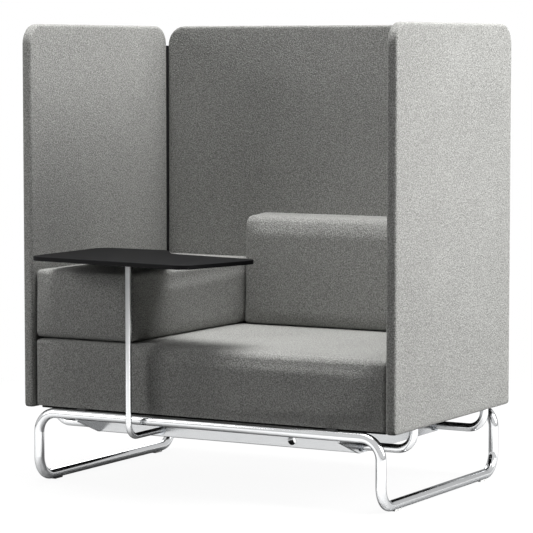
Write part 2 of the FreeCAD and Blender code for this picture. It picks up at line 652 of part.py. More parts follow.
end_plug = end_plug.fuse(rod(V(axis_x, tail_y, BEAM_Z), V(0, -1, 0), arm_bore_r - WELD_GAP, END_PLUG_L))
end_plug = end_plug.removeSplitter()

# Swivel: a flanged bush in the top of the post takes the spindle of the tablet's flange.
post_end = V(axis_x, POST_Y, post_top)
swivel_bush = rod(post_end, V(0, 0, 1), arm_r, SWIVEL_LIP_T)
swivel_bush = swivel_bush.fuse(rod(post_end, V(0, 0, -1), arm_bore_r - SCREW_GAP, SWIVEL_BUSH_L))
bore_l = SWIVEL_BUSH_L + SWIVEL_LIP_T
spindle_bore = rod(V(axis_x, POST_Y, bush_top), V(0, 0, -1), spindle_r + SPINDLE_FIT, bore_l)
swivel_bush = swivel_bush.removeSplitter().cut(spindle_bore)
flange = rod(V(axis_x, POST_Y, flange_z), V(0, 0, 1), FLANGE_D / 2, FLANGE_T)
flange = flange.fuse(rod(V(axis_x, POST_Y, flange_z), V(0, 0, -1), spindle_r, SPINDLE_L)).removeSplitter()


def tablet_point(dx, dy):
    """Point of the tablet's outline, from the post's axis."""
    return V(axis_x + dx, POST_Y + dy, tablet_z)


left_front = tablet_point(-TABLET_LEFT, -TABLET_LEFT_FRONT)
nose_point = tablet_point(TABLET_NOSE_X, -TABLET_NOSE_Y)
tip_point = tablet_point(TABLET_TIP_X, TABLET_TIP_Y)
waist_point = tablet_point(TABLET_WAIST_X, TABLET_WAIST_Y)
pad_point = tablet_point(TABLET_PAD_W - TABLET_LEFT, TABLET_BACK)
left_back = tablet_point(-TABLET_LEFT, TABLET_BACK)
tablet_outline = [left_front, nose_point, tip_point, waist_point, pad_point, left_back]
tablet_radii = [TABLET_CORNER_R, TABLET_CORNER_R, TABLET_BACK_R, TABLET_WAIST_R, TABLET_BACK_R, TABLET_BACK_R]
tablet = rounded_face(tablet_outline, tablet_radii).extrude(V(0, 0, TABLET_T))
tablet_rims = edges_in(tablet, lambda c, e: near(c.z, tablet_z) or near(c.z, TABLET_TOP))
tablet = tablet.makeFillet(TABLET_EDGE_R, tablet_rims)
tablet_screws = []
for i in range(FLANGE_SCREWS):
    turn = 2 * math.pi * (i + 0.5) / FLANGE_SCREWS
    at = V(axis_x + FLANGE_SCREW_R * math.cos(turn), POST_Y + FLANGE_SCREW_R * math.sin(turn), flange_z)
    length = FLANGE_T + TABLET_SCREW_GRIP
    shank = rod(at, V(0, 0, 1), TABLET_SCREW_D / 2, length)
    head = rod(at, V(0, 0, -1), TABLET_SCREW_HEAD_D / 2, TABLET_SCREW_HEAD_H)
    tablet_screws.append(shank.fuse(head).removeSplitter())
    way = rod(at, V(0, 0, 1), TABLET_SCREW_D / 2 + SCREW_GAP, length)
    flange = flange.cut(way)
    tablet = tablet.cut(way)

nodes = {
    "front_frame_tube": front_frame,
    "rear_frame_tube": rear_frame,
    "runner_spigots": group(spigots),
    "spigot_screws": group(spigot_screws),
    "floor_glides": group(glides),
    "left_side_beam": left_beam,
    "right_side_beam": right_beam,
    "front_cross_beam": front_cross,
    "rear_cross_beam": rear_cross,
    "socket_sleeves": group(sleeves),
    "left_panel_posts": group(left_posts),
    "right_panel_posts": group(right_posts),
    "post_collars": group(collars),
    "post_shims": group(shims),
    "post_screws": group(post_screws),
    "left_panel_board": mirror_x(right_core),
    "left_panel_cover": mirror_x(right_cover),
    "right_panel_board": right_core,
    "right_panel_cover": right_cover,
    "back_panel_board": back_core,
    "back_panel_cover": back_cover,
    "left_corner_angle": mirror_x(angle),
    "right_corner_angle": angle,
    "corner_screws": group(corner_screws),
    "seat_pads": group(seat_pads),
    "seat_brackets": group(brackets),
    "seat_bolts": group(bolts),
    "seat_board": seat_board,
    "seat_battens": group(battens),
    "seat_cushion": seat_cushion,
    "arm_frame": arm_core,
    "arm_cushion": arm_cushion,
    "backrest_board": back_board,
    "backrest_cushion": back_cushion,
    "block_pins": group(pins),
    "table_arm": table_arm,
    "arm_socket_bush": socket_bush,
    "arm_set_screw": arm_screw,
    "arm_end_plug": end_plug,
    "swivel_bush": swivel_bush,
    "tablet_flange": flange,
    "tablet_top": tablet,
    "tablet_screws": group(tablet_screws),
}

# The origin lies on the floor under the middle of the chair, tablet included.
front_reach = tablet.optimalBoundingBox(False, False).YMin
shift = V(0, -(front_reach + back_y) / 2, 0)
os.makedirs("parts", exist_ok=True)
for name, shape in nodes.items():
    placed = shape.copy()
    placed.translate(shift)
    placed.exportStep("parts/" + name + ".step")
    count = len(placed.Solids)
    print(name, "solids", count, "volume", round(placed.Volume), "valid", placed.isValid())
print("moved along Y by", round(shift.y, 4))
print("post axis", round(axis_x, 4), round(POST_Y + shift.y, 4))
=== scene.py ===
"""Looks of a high-sided lounge chair with a writing tablet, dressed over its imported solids."""

import logging
import math
from dataclasses import dataclass
from enum import Enum
from functools import cached_property
from typing import Callable, Optional, Sequence

import bmesh
import bpy
from mathutils import Matrix, Vector, kdtree, noise


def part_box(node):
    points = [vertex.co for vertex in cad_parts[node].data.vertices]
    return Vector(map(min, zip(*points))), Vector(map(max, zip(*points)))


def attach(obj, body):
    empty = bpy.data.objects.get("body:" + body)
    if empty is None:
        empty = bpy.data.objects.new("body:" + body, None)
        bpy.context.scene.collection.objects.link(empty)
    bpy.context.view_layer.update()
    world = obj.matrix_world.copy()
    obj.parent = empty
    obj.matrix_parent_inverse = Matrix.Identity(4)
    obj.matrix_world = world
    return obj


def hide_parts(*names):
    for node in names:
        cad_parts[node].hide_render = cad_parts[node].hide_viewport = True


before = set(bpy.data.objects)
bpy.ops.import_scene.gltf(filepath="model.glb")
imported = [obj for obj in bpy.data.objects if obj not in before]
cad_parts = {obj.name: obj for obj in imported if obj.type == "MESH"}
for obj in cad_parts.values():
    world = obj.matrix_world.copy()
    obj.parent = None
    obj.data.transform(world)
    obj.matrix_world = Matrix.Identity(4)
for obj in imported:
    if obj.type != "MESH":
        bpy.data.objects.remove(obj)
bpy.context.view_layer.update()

LOG = logging.getLogger("chair")
CHAIR_BODY = "chair"    # every cover rides on it
MM = 0.001              # metres in a millimetre
TIGHT = 1e-5            # metres within which two places count as one
CUT_SLACK = 1e-6        # metres off a cutting plane that still lie on it
STILL = 1e-9            # metres below which a point hasn't moved
FLATNESS = 2.6          # power that keeps a swell flat in its middle
FIRST_FRAME = 1
HALF = 0.5
WHITE = (1.0, 1.0, 1.0, 1.0)

Triple = tuple[float, float, float]
Colour = tuple[float, float, float, float]
Tree = bpy.types.NodeTree
Node = bpy.types.Node
Socket = bpy.types.NodeSocket
BMesh = bmesh.types.BMesh
BMEdge = bmesh.types.BMEdge
Test = Callable[[Vector], bool]


class Axis(Enum):
    """Axes of the shared frame, by index."""

    X = 0
    Y = 1
    Z = 2


def linear(code: str) -> Colour:
    """Turn an sRGB hex colour into linear values, by the sRGB standard's numbers.

    Args:
        code: Six hex digits after a hash sign.

    Returns:
        Red, green, blue and alpha, linear.
    """
    values = []
    for i in (1, 3, 5):
        c = int(code[i:i + 2], 16) / 255
        values.append(c / 12.92 if c <= 0.04045 else ((c + 0.055) / 1.055) ** 2.4)
    return (values[0], values[1], values[2], 1.0)


def pattern_scale(size_mm: float) -> float:
    """Scale of a pattern whose features have a size in millimetres."""
    return 1 / (size_mm * MM)


def add_node(tree: Tree, kind: str, settings: Optional[dict] = None,
             links: Optional[dict] = None) -> Node:
    """Add a shader node with its settings and links.

    Args:
        tree: The node tree that takes the node.
        kind: Blender's name of the node type.
        settings: Socket values by socket name or index, node properties by name, or a ramp's stops.
        links: Output sockets by the name or index of the input they feed.

    Returns:
        The new node.
    """
    node = tree.nodes.new(kind)
    for key, value in (settings or {}).items():
        if key == "stops":
            elements = node.color_ramp.elements
            for i, (position, colour) in enumerate(value):
                element = elements[i] if i < len(elements) else elements.new(position)
                element.position = position
                element.color = colour
        elif isinstance(key, int) or key in node.inputs:
            node.inputs[key].default_value = value
        else:
            setattr(node, key, value)
    for key, source in (links or {}).items():
        tree.links.new(source, node.inputs[key])
    return node


def set_sockets(shader: Node, values: dict[str, float | Colour]) -> None:
    """Set constants on a shader's own sockets."""
    for name, value in values.items():
        shader.inputs[name].default_value = value


# Finishes

@dataclass(frozen=True)
class Finish:
    """A surface of the chair: its common name and the record's slot it stands for."""

    name: str
    slot: str

    def paint(self, tree: Tree, shader: Node, place: Socket) -> None:
        """Set the shader and link its patterns; each finish has its own."""
        raise NotImplementedError

    def material(self) -> bpy.types.Material:
        """Make the material at the first call and hand out the same one later.

        Returns:
            The Blender material of this finish.
        """
        found = bpy.data.materials.get(self.name)
        if found is not None:
            return found
        material = bpy.data.materials.new(self.name)
        material.use_nodes = True
        tree = material.node_tree
        place = add_node(tree, "ShaderNodeTexCoord").outputs["Object"]
        self.paint(tree, tree.nodes["Principled BSDF"], place)
        return material


@dataclass(frozen=True)
class MelangeWool(Finish):
    """Felted melange wool: dark and pale fibres spun together, matt, fuzzy at grazing angles.

    The real flecks are about a millimetre long; they are drawn coarser so that they show. The
    flecks are turned off the axes (in radians), so that every flat face shows them evenly.
    """

    dark: str = "#71716e"
    middle: str = "#959592"
    pale: str = "#b6b6b3"
    dark_at: float = 0.38
    middle_at: float = 0.5
    pale_at: float = 0.62
    turn: Triple = (0.6, 0.4, 0.9)
    fleck_mm: float = 3.5
    fleck_detail: float = 2.0
    fleck_mix: float = 0.6
    fibre_mm: float = 2.1
    fibre_detail: float = 1.0
    fibre_stretch: Triple = (1.0, 1.0, 0.55)
    drift_mm: float = 240.0
    drift_detail: float = 1.0
    drift_share: float = 0.05
    nap_mm: float = 2.1
    nap_strength: float = 1.0
    rough: float = 0.95
    gloss: float = 0.15
    fuzz: float = 0.12
    fuzz_rough: float = 0.6

    def paint(self, tree: Tree, shader: Node, place: Socket) -> None:
        """Mix two sizes of flecks into the colour and the nap.

        Args:
            tree: The material's node tree.
            shader: The material's shader.
            place: Object coordinates.
        """
        turned = add_node(tree, "ShaderNodeMapping", {"Rotation": self.turn}, {"Vector": place})
        fleck = add_node(tree, "ShaderNodeTexNoise",
                         {"Scale": pattern_scale(self.fleck_mm), "Detail": self.fleck_detail,
                          "Roughness": self.fleck_mix},
                         {"Vector": turned.outputs["Vector"]})
        lean = add_node(tree, "ShaderNodeMapping",
                        {"Scale": self.fibre_stretch, "Rotation": self.turn}, {"Vector": place})
        fibre = add_node(tree, "ShaderNodeTexNoise",
                         {"Scale": pattern_scale(self.fibre_mm), "Detail": self.fibre_detail},
                         {"Vector": lean.outputs["Vector"]})
        drift = add_node(tree, "ShaderNodeTexNoise",
                         {"Scale": pattern_scale(self.drift_mm), "Detail": self.drift_detail},
                         {"Vector": place})
        both = add_node(tree, "ShaderNodeMath", {"operation": "ADD"},
                        {0: fleck.outputs["Fac"], 1: fibre.outputs["Fac"]})
        faint = add_node(tree, "ShaderNodeMath",
                         {"operation": "MULTIPLY_ADD", 1: self.drift_share,
                          2: -self.drift_share * HALF},
                         {0: drift.outputs["Fac"]})
        total = add_node(tree, "ShaderNodeMath", {"operation": "MULTIPLY_ADD", 1: HALF},
                         {0: both.outputs["Value"], 2: faint.outputs["Value"]})
        stops = ((self.dark_at, linear(self.dark)), (self.middle_at, linear(self.middle)),
                 (self.pale_at, linear(self.pale)))
        ramp = add_node(tree, "ShaderNodeValToRGB", {"stops": stops},
                        {"Fac": total.outputs["Value"]})
        nap = add_node(tree, "ShaderNodeBump",
                       {"Strength": self.nap_strength, "Distance": self.nap_mm * MM},
                       {"Height": both.outputs["Value"]})
        tree.links.new(ramp.outputs["Color"], shader.inputs["Base Color"])
        tree.links.new(nap.outputs["Normal"], shader.inputs["Normal"])
        set_sockets(shader, {"Roughness": self.rough, "Specular IOR Level": self.gloss,
                             "Sheen Weight": self.fuzz, "Sheen Roughness": self.fuzz_rough})


@dataclass(frozen=True)
class PlatedSteel(Finish):
    """Plated steel: drawn tube or cut plate, bright or satin, with faint polishing marks and a
    painted dark reflection at its outline.
    """

    colour: str = "#c6c7c8"
    # Edge tint darker than the face: a painted dark reflection towards the metal's outline.
    rim: str = "#8a8b8c"
    smooth: float = 0.09
    rough: float = 0.14
    marks_mm: float = 30.0
    marks_detail: float = 3.0
    marks_from: float = 0.3
    marks_to: float = 0.7
    metallic: float = 1.0

    def paint(self, tree: Tree, shader: Node, place: Socket) -> None:
        """Let the gloss drift a little along the metal.

        Args:
            tree: The material's node tree.
            shader: The material's shader.
            place: Object coordinates.
        """
        marks = add_node(tree, "ShaderNodeTexNoise",
                         {"Scale": pattern_scale(self.marks_mm), "Detail": self.marks_detail},
                         {"Vector": place})
        gloss = add_node(tree, "ShaderNodeMapRange",
                         {"From Min": self.marks_from, "From Max": self.marks_to,
                          "To Min": self.smooth, "To Max": self.rough},
                         {"Value": marks.outputs["Fac"]})
        set_sockets(shader, {"Base Color": linear(self.colour), "Metallic": self.metallic,
                             "Specular Tint": linear(self.rim)})
        tree.links.new(gloss.outputs["Result"], shader.inputs["Roughness"])


@dataclass(frozen=True)
class GrainedSurface(Finish):
    """Even surface with a fine grain: laminate, powder coat, plastic, rubber or stained board."""

    colour: str = "#1d1d1e"
    worn: str = "#262627"
    colour_at: float = 0.35
    worn_at: float = 0.65
    rough: float = 0.45
    gloss: float = 0.5
    grain_mm: float = 1.2
    grain_detail: float = 2.0
    relief_mm: float = 0.05
    relief_strength: float = 0.4

    def paint(self, tree: Tree, shader: Node, place: Socket) -> None:
        """Break the colour with a fine grain and a slight relief.

        Args:
            tree: The material's node tree.
            shader: The material's shader.
            place: Object coordinates.
        """
        grain = add_node(tree, "ShaderNodeTexNoise",
                         {"Scale": pattern_scale(self.grain_mm), "Detail": self.grain_detail},
                         {"Vector": place})
        stops = ((self.colour_at, linear(self.colour)), (self.worn_at, linear(self.worn)))
        ramp = add_node(tree, "ShaderNodeValToRGB", {"stops": stops},
                        {"Fac": grain.outputs["Fac"]})
        relief = add_node(tree, "ShaderNodeBump",
                          {"Strength": self.relief_strength, "Distance": self.relief_mm * MM},
                          {"Height": grain.outputs["Fac"]})
        tree.links.new(ramp.outputs["Color"], shader.inputs["Base Color"])
        tree.links.new(relief.outputs["Normal"], shader.inputs["Normal"])
        set_sockets(shader, {"Roughness": self.rough, "Specular IOR Level": self.gloss})


@dataclass(frozen=True)
class Plywood(Finish):
    """Birch plywood: pale, with long soft grain along one direction."""

    dark: str = "#b08f5f"
    pale: str = "#d8bf97"
    dark_at: float = 0.35
    pale_at: float = 0.6
    grain_mm: float = 9.0
    grain_detail: float = 4.0
    grain_stretch: Triple = (0.06, 0.06, 1.0)
    rough: float = 0.6

    def paint(self, tree: Tree, shader: Node, place: Socket) -> None:
        """Stretch the grain along the board.

        Args:
            tree: The material's node tree.
            shader: The material's shader.
            place: Object coordinates.
        """
        along = add_node(tree, "ShaderNodeMapping", {"Scale": self.grain_stretch},
                         {"Vector": place})
        grain = add_node(tree, "ShaderNodeTexNoise",
                         {"Scale": pattern_scale(self.grain_mm), "Detail": self.grain_detail},
                         {"Vector": along.outputs["Vector"]})
        stops = ((self.dark_at, linear(self.dark)), (self.pale_at, linear(self.pale)))
        ramp = add_node(tree, "ShaderNodeValToRGB", {"stops": stops},
                        {"Fac": grain.outputs["Fac"]})
        tree.links.new(ramp.outputs["Color"], shader.inputs["Base Color"])
        set_sockets(shader, {"Roughness": self.rough})


# Felted cover: a matt grey that breaks up into dark and pale flecks.
WOOL = MelangeWool("melange_wool_felt", "grey_wool")
# Polished and chromed tube: mirrors the room, a little darker towards its outline, where the darker
# edge tint paints a dark reflection.
CHROME = PlatedSteel("bright_chromed_tube", "polished_steel")
# Brushed and plated beams: broad, soft reflections.
SATIN = PlatedSteel("satin_plated_steel", "polished_steel", colour="#a8a9aa", smooth=0.19,
                    rough=0.22, marks_mm=60.0)
# Barrel-plated fixings: dull, pale, slightly blotched.
ZINC = PlatedSteel("zinc_plated_steel", "zinc_steel", colour="#b9bcc0", smooth=0.25, rough=0.38,
                   marks_mm=8.0)
# Sprayed and baked powder: even black with a fine pebbling.
LACQUER = GrainedSurface("black_powder_coat", "black_metal", rough=0.5)
# Pressed laminate: deep black with hardly any shine.
LAMINATE = GrainedSurface("black_matt_laminate", "black_laminate", colour="#0b0b0c",
                          worn="#101011", rough=0.6, gloss=0.06)
# Moulded glides: milky white, slightly shiny.
PALE_PLASTIC = GrainedSurface("pale_moulded_plastic", "pale_plastic", colour="#dcdcda",
                              worn="#e4e4e2", rough=0.35, grain_mm=0.8)
# Moulded bushes and plugs: black with a slight shine.
PLASTIC = GrainedSurface("black_moulded_plastic", "black_plastic", rough=0.4, grain_mm=0.8)
# Moulded rubber pads: dull black.
RUBBER = GrainedSurface("black_rubber", "black_rubber", colour="#181818", worn="#202020",
                        rough=0.7, gloss=0.3)
# Stained board: dull black with a coarser grain.
DARK_BOARD = GrainedSurface("black_stained_board", "black_board", colour="#171716", worn="#1f1f1e",
                            rough=0.75, grain_mm=3.0, gloss=0.25)
# Sanded plywood: warm and pale.
BOARD = Plywood("birch_plywood", "board")


def dress(names: Sequence[str], finish: Finish) -> None:
    """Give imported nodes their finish.

    Args:
        names: Nodes that keep their own shape.
        finish: The finish that they all get.
    """
    for name in names:
        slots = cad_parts[name].data.materials
        slots.clear()
        slots.append(finish.material())
        LOG.info("%s: %s", name, finish.name)


# Mesh work shared by the soft pieces

def start_block(bm: BMesh, low: Vector, high: Vector) -> None:
    """Start from a plain block between two corners.

    Args:
        bm: The empty mesh.
        low: Lowest corner.
        high: Highest corner.
    """
    size = high - low
    stretch = Matrix.Diagonal((size.x, size.y, size.z, 1.0))
    place = Matrix.Translation((low + high) / 2) @ stretch
    bmesh.ops.create_cube(bm, size=1.0, matrix=place)


def edges_where(bm: BMesh, test: Test) -> list[BMEdge]:
    """Edges whose two ends pass a test.

    Args:
        bm: The mesh.
        test: Says yes or no to a point.

    Returns:
        The edges that pass.
    """
    return [e for e in bm.edges if all(test(v.co) for v in e.verts)]


def edges_without(edges: Sequence[BMEdge], test: Test) -> list[BMEdge]:
    """Edges of a list, less those whose two ends pass a test.

    Args:
        edges: Edges to choose from.
        test: Says yes or no to a point.

    Returns:
        The edges that stay.
    """
    return [e for e in edges if not all(test(v.co) for v in e.verts)]


def span(edge: BMEdge, axis: Axis) -> float:
    """How far an edge reaches along an axis."""
    return abs(edge.verts[0].co[axis.value] - edge.verts[1].co[axis.value])


def round_edges(bm: BMesh, edges: Sequence[BMEdge], radius: float, steps: int) -> None:
    """Round edges with a bevel of one radius.

    Args:
        bm: The mesh.
        edges: Edges to round.
        radius: Width of the rounding, in metres.
        steps: Segments across it.
    """
    bmesh.ops.bevel(bm, geom=list(edges), offset=radius, offset_type="OFFSET", segments=steps,
                    profile=0.5, affect="EDGES", material=-1, clamp_overlap=True)


def cut_net(bm: BMesh, pitch: float) -> None:
    """Cut all faces along planes across each axis, so that they can bend.

    Args:
        bm: The mesh.
        pitch: Distance between the planes, in metres.
    """
    for axis in Axis:
        values = [v.co[axis.value] for v in bm.verts]
        low, high = min(values), max(values)
        count = max(1, round((high - low) / pitch))
        for i in range(1, count):
            point = Vector((0, 0, 0))
            point[axis.value] = low + (high - low) * i / count
            normal = Vector((0, 0, 0))
            normal[axis.value] = 1.0
            geometry = bm.verts[:] + bm.edges[:] + bm.faces[:]
            bmesh.ops.bisect_plane(bm, geom=geometry, dist=CUT_SLACK, plane_co=point,
                                   plane_no=normal)


def dome(t: float) -> float:
    """Height of a flat-topped swell, 1 in the middle and 0 at both ends of -1 to 1."""
    return 1.0 - min(1.0, abs(t)) ** FLATNESS


def ease(t: float) -> float:
    """Smooth step from 0 to 1."""
    t = min(1.0, max(0.0, t))
    return t * t * (3.0 - 2.0 * t)


def ease_late(t: float) -> float:
    """Smooth step from 0 to 1 over the second half of the way."""
    return ease(t * 2 - 1)


@dataclass
class SoftPiece:
    """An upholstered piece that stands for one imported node; all sizes are in metres."""

    name: str
    node: str
    fill: float = 0.85
    pitch: float = 0.014
    smoothing: int = 1

    @cached_property
    def low(self) -> Vector:
        """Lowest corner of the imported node."""
        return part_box(self.node)[0]

    @cached_property
    def high(self) -> Vector:
        """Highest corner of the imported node."""
        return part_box(self.node)[1]

    def form(self, bm: BMesh) -> None:
        """Make the piece's own shape in an empty mesh."""
        raise NotImplementedError

    def fill_out(self, piece: bpy.types.Object) -> None:
        """Leave the cover as it is drawn; padded blocks have their own way."""

    def build(self) -> None:
        bm = bmesh.new()
        self.form(bm)
        bmesh.ops.remove_doubles(bm, verts=bm.verts, dist=TIGHT)
        bmesh.ops.recalc_face_normals(bm, faces=bm.faces)
        mesh = bpy.data.meshes.new(self.name)
        bm.to_mesh(mesh)
        bm.free()
        piece = bpy.data.objects.new(self.name, mesh)
        bpy.context.scene.collection.objects.link(piece)
        self.fill_out(piece)
        mesh.shade_smooth()
        soften = piece.modifiers.new("soften", "SUBSURF")
        soften.levels = soften.render_levels = self.smoothing
        mesh.materials.append(WOOL.material())
        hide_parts(self.node)
        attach(piece, CHAIR_BODY)
        LOG.info("%s: %d faces", self.name, len(mesh.polygons))


@dataclass
class PaddedBlock(SoftPiece):
    """A padded block, whose cover is blown up in a short cloth run, held where the block rests.

    The run moves an even, coarse copy, and its movement passes to the cover up to the reach.
    """

    voxel: float = 0.02
    quality: int = 3
    pressure: float = 4.0
    frames: int = 12
    reach: float = 0.005
    neighbours: int = 6
    blur: float = 0.005

    def held(self, point: Vector) -> bool:
        """Say whether the cover is fixed at a point."""
        raise NotImplementedError

    def fill_out(self, piece: bpy.types.Object) -> None:
        """Blow up a copy of the cover and pass its movement on.

        Args:
            piece: The object, whose mesh takes the result.
        """
        copy = self.even_copy(piece)
        moves = self.run_cloth(copy)
        self.pass_on(moves, copy.data, piece.data)
        bpy.data.objects.remove(copy)
        bpy.context.scene.frame_set(FIRST_FRAME)
        most = max(move.length for move in moves)
        LOG.info("%s: cover moved up to %.1f mm before the limit", self.name, most / MM)

    def even_copy(self, piece: bpy.types.Object) -> bpy.types.Object:
        """Copy the cover with an even, coarse mesh.

        Args:
            piece: The cover.

        Returns:
            The copy, in the scene.
        """
        copy = bpy.data.objects.new(self.name + "_run", piece.data.copy())
        bpy.context.scene.collection.objects.link(copy)
        remesh = copy.modifiers.new("even", "REMESH")
        remesh.mode = "VOXEL"
        remesh.voxel_size = self.voxel
        evaluated = copy.evaluated_get(bpy.context.evaluated_depsgraph_get())
        even = bpy.data.meshes.new_from_object(evaluated)
        copy.modifiers.remove(remesh)
        copy.data = even
        return copy

    def run_cloth(self, copy: bpy.types.Object) -> list[Vector]:
        """Run the copy as cloth under pressure from inside.

        Args:
            copy: The even copy.

        Returns:
            How far each of its points moved.
        """
        start = copy.data.vertices
        group = copy.vertex_groups.new(name="held")
        group.add([v.index for v in start if self.held(v.co)], 1.0, "REPLACE")
        cloth = copy.modifiers.new("cover", "CLOTH")
        cloth.settings.quality = self.quality
        cloth.settings.use_pressure = True
        cloth.settings.uniform_pressure_force = self.pressure
        cloth.settings.effector_weights.gravity = 0.0
        cloth.settings.vertex_group_mass = group.name
        cloth.collision_settings.use_collision = False
        cloth.point_cache.frame_start = FIRST_FRAME
        cloth.point_cache.frame_end = self.frames
        for step in range(FIRST_FRAME, self.frames + 1):
            bpy.context.scene.frame_set(step)
        blown = copy.evaluated_get(bpy.context.evaluated_depsgraph_get()).to_mesh()
        return [after.co - before.co for before, after in zip(start, blown.vertices)]

    def pass_on(self, moves: Sequence[Vector], even: bpy.types.Mesh,
                cover: bpy.types.Mesh) -> None:
        """Move the cover's points with the nearest points of the run, inside the node's box.

        Args:
            moves: How far each point of the run moved.
            even: The run's mesh, before it moved.
            cover: The mesh that takes the movement.
        """
        places = kdtree.KDTree(len(moves))
        for vertex in even.vertices:
            places.insert(vertex.co, vertex.index)
        places.balance()
        for vertex in cover.vertices:
            move, total = Vector((0, 0, 0)), 0.0
            for _, index, distance in places.find_n(vertex.co, self.neighbours):
                weight = 1.0 / (distance + self.blur)
                move += moves[index] * weight
                total += weight
            move /= total
            if move.length > STILL:
                move *= self.reach * math.tanh(move.length / self.reach) / move.length
            for i in (axis.value for axis in Axis):
                vertex.co[i] = min(self.high[i], max(self.low[i], vertex.co[i] + move[i]))


@dataclass
class SeatBlock(PaddedBlock):
    """Seat block: flat below, crowned, with a rounded nose that the arm block presses down."""

    nose: float = 0.018
    nose_steps: int = 6
    pressed_nose: float = 0.015
    ends: float = 0.013
    end_steps: int = 3
    foot: float = 0.006
    foot_steps: int = 2
    crown: float = 0.0045
    swell: float = 0.006
    arm_end: float = -0.2405
    turn: float = 0.060
    held_below: float = 0.012
    held_behind: float = 0.130
    held_ends: float = 0.008
    held_under_arm: float = 0.02

    def form(self, bm: BMesh) -> None:
        """Round a block, cut it into a net and crown it.

        Args:
            bm: The empty mesh.
        """
        low, high = self.low.copy(), self.high.copy()
        low.y += self.swell
        high.z -= self.crown
        start_block(bm, low, high)
        front, back = low.y + TIGHT, high.y - TIGHT
        bottom, top = low.z + TIGHT, high.z - TIGHT
        noses = edges_where(bm, lambda p: p.y < front and p.z > top)
        round_edges(bm, noses, self.nose, self.nose_steps)
        rims = []
        for end in (low.x, high.x):
            rims += edges_where(bm, lambda p: abs(p.x - end) < TIGHT
                                and (p.z > bottom or p.y < front))
        rims = edges_without(rims, lambda p: p.y > back)
        round_edges(bm, rims, self.ends, self.end_steps)
        lower = edges_where(bm, lambda p: p.y < front + self.ends and p.z < bottom)
        lower = [e for e in lower if e.calc_length() > self.ends]
        round_edges(bm, lower, self.foot, self.foot_steps)
        cut_net(bm, self.pitch)
        self.shape_top(bm, low, high)

    def shape_top(self, bm: BMesh, low: Vector, high: Vector) -> None:
        """Crown the top, swell the front and press the nose under the arm block.

        Args:
            bm: The rounded block.
            low: Lowest corner of the block.
            high: Highest corner of the block.
        """
        middle_x = (low.x + high.x) / 2
        half_x = (high.x - low.x) / 2
        half_y = (high.y - low.y) / 2
        middle_z = (low.z + high.z) / 2
        half_z = (high.z - low.z) / 2
        for v in bm.verts:
            p = v.co
            pressed = 1.0 - ease((p.x - self.arm_end) / self.turn)
            if p.y < low.y + self.nose and p.z > high.z - self.nose and pressed > 0:
                tight_by = 1.0 - pressed * (1.0 - self.pressed_nose / self.nose)
                p.y = low.y + (p.y - low.y) * tight_by
                p.z = high.z - (high.z - p.z) * tight_by
            across = dome((p.x - middle_x) / half_x)
            along = dome((p.y - low.y - half_y) / half_y)
            up = ease((p.z - middle_z) / half_z)
            p.z += self.crown * across * along * up
            forward = ease((low.y + self.nose - p.y) / self.nose)
            p.y -= self.swell * dome((p.z - middle_z) / half_z) * across * forward

    def held(self, point: Vector) -> bool:
        """The seat is fixed below, at the back, at both ends and under the arm block.

        Args:
            point: A point of the cover.

        Returns:
            Whether it is fixed there.
        """
        below = point.z < self.low.z + self.held_below
        behind = point.y > self.high.y - self.held_behind
        end = abs(point.x) > self.high.x - self.held_ends
        under_arm = point.x < self.arm_end and point.z > self.high.z - self.held_under_arm
        return below or behind or end or under_arm


@dataclass
class ArmBlock(PaddedBlock):
    """Arm block beside the sitter: rounded above and in front, flat where it lies on the seat."""

    seat_node: str = "seat_cushion"
    rim: float = 0.014
    rim_steps: int = 5
    foot: float = 0.015
    foot_steps: int = 3
    lift: float = 0.0005
    crown: float = 0.003
    swell: float = 0.004
    held_below: float = 0.02
    held_behind: float = 0.012
    held_beside: float = 0.008

    def form(self, bm: BMesh) -> None:
        """Round a block, cut it into a net and crown it.

        Args:
            bm: The empty mesh.
        """
        low, high = self.low.copy(), self.high.copy()
        low.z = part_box(self.seat_node)[1].z + self.lift
        low.y += self.swell
        high.z -= self.crown
        high.x -= self.swell / 2
        start_block(bm, low, high)
        front, back = low.y + TIGHT, high.y - TIGHT
        bottom, top = low.z + TIGHT, high.z - TIGHT
        rims = edges_without(edges_where(bm, lambda p: p.z > top), lambda p: p.y > back)
        uprights = edges_where(bm, lambda p: p.y < front)
        uprights = [e for e in uprights if span(e, Axis.Z) > self.rim]
        round_edges(bm, rims + uprights, self.rim, self.rim_steps)
        lower = edges_where(bm, lambda p: p.z < bottom and p.y < back)
        right = edges_where(bm, lambda p: p.z < bottom and p.x > high.x - TIGHT)
        lower += [e for e in right if e not in lower]
        round_edges(bm, lower, self.foot, self.foot_steps)
        cut_net(bm, self.pitch)
        middle, half = (low + high) / 2, (high - low) / 2
        for v in bm.verts:
            p = v.co
            across = dome((p.x - middle.x) / half.x)
            along = dome((p.y - middle.y) / half.y)
            tall = dome((p.z - middle.z) / half.z)
            p.z += self.crown * across * along * ease((p.z - middle.z) / half.z)
            p.y -= self.swell * across * tall * ease_late((middle.y - p.y) / half.y)
            p.x += self.swell / 2 * along * tall * ease_late((p.x - middle.x) / half.x)

    def held(self, point: Vector) -> bool:
        """The block is fixed below, behind and against the side panel.

        Args:
            point: A point of the cover.

        Returns:
            Whether it is fixed there.
        """
        below = point.z < self.low.z + self.held_below
        behind = point.y > self.high.y - self.held_behind
        beside = point.x < self.low.x + self.held_beside
        return below or behind or beside


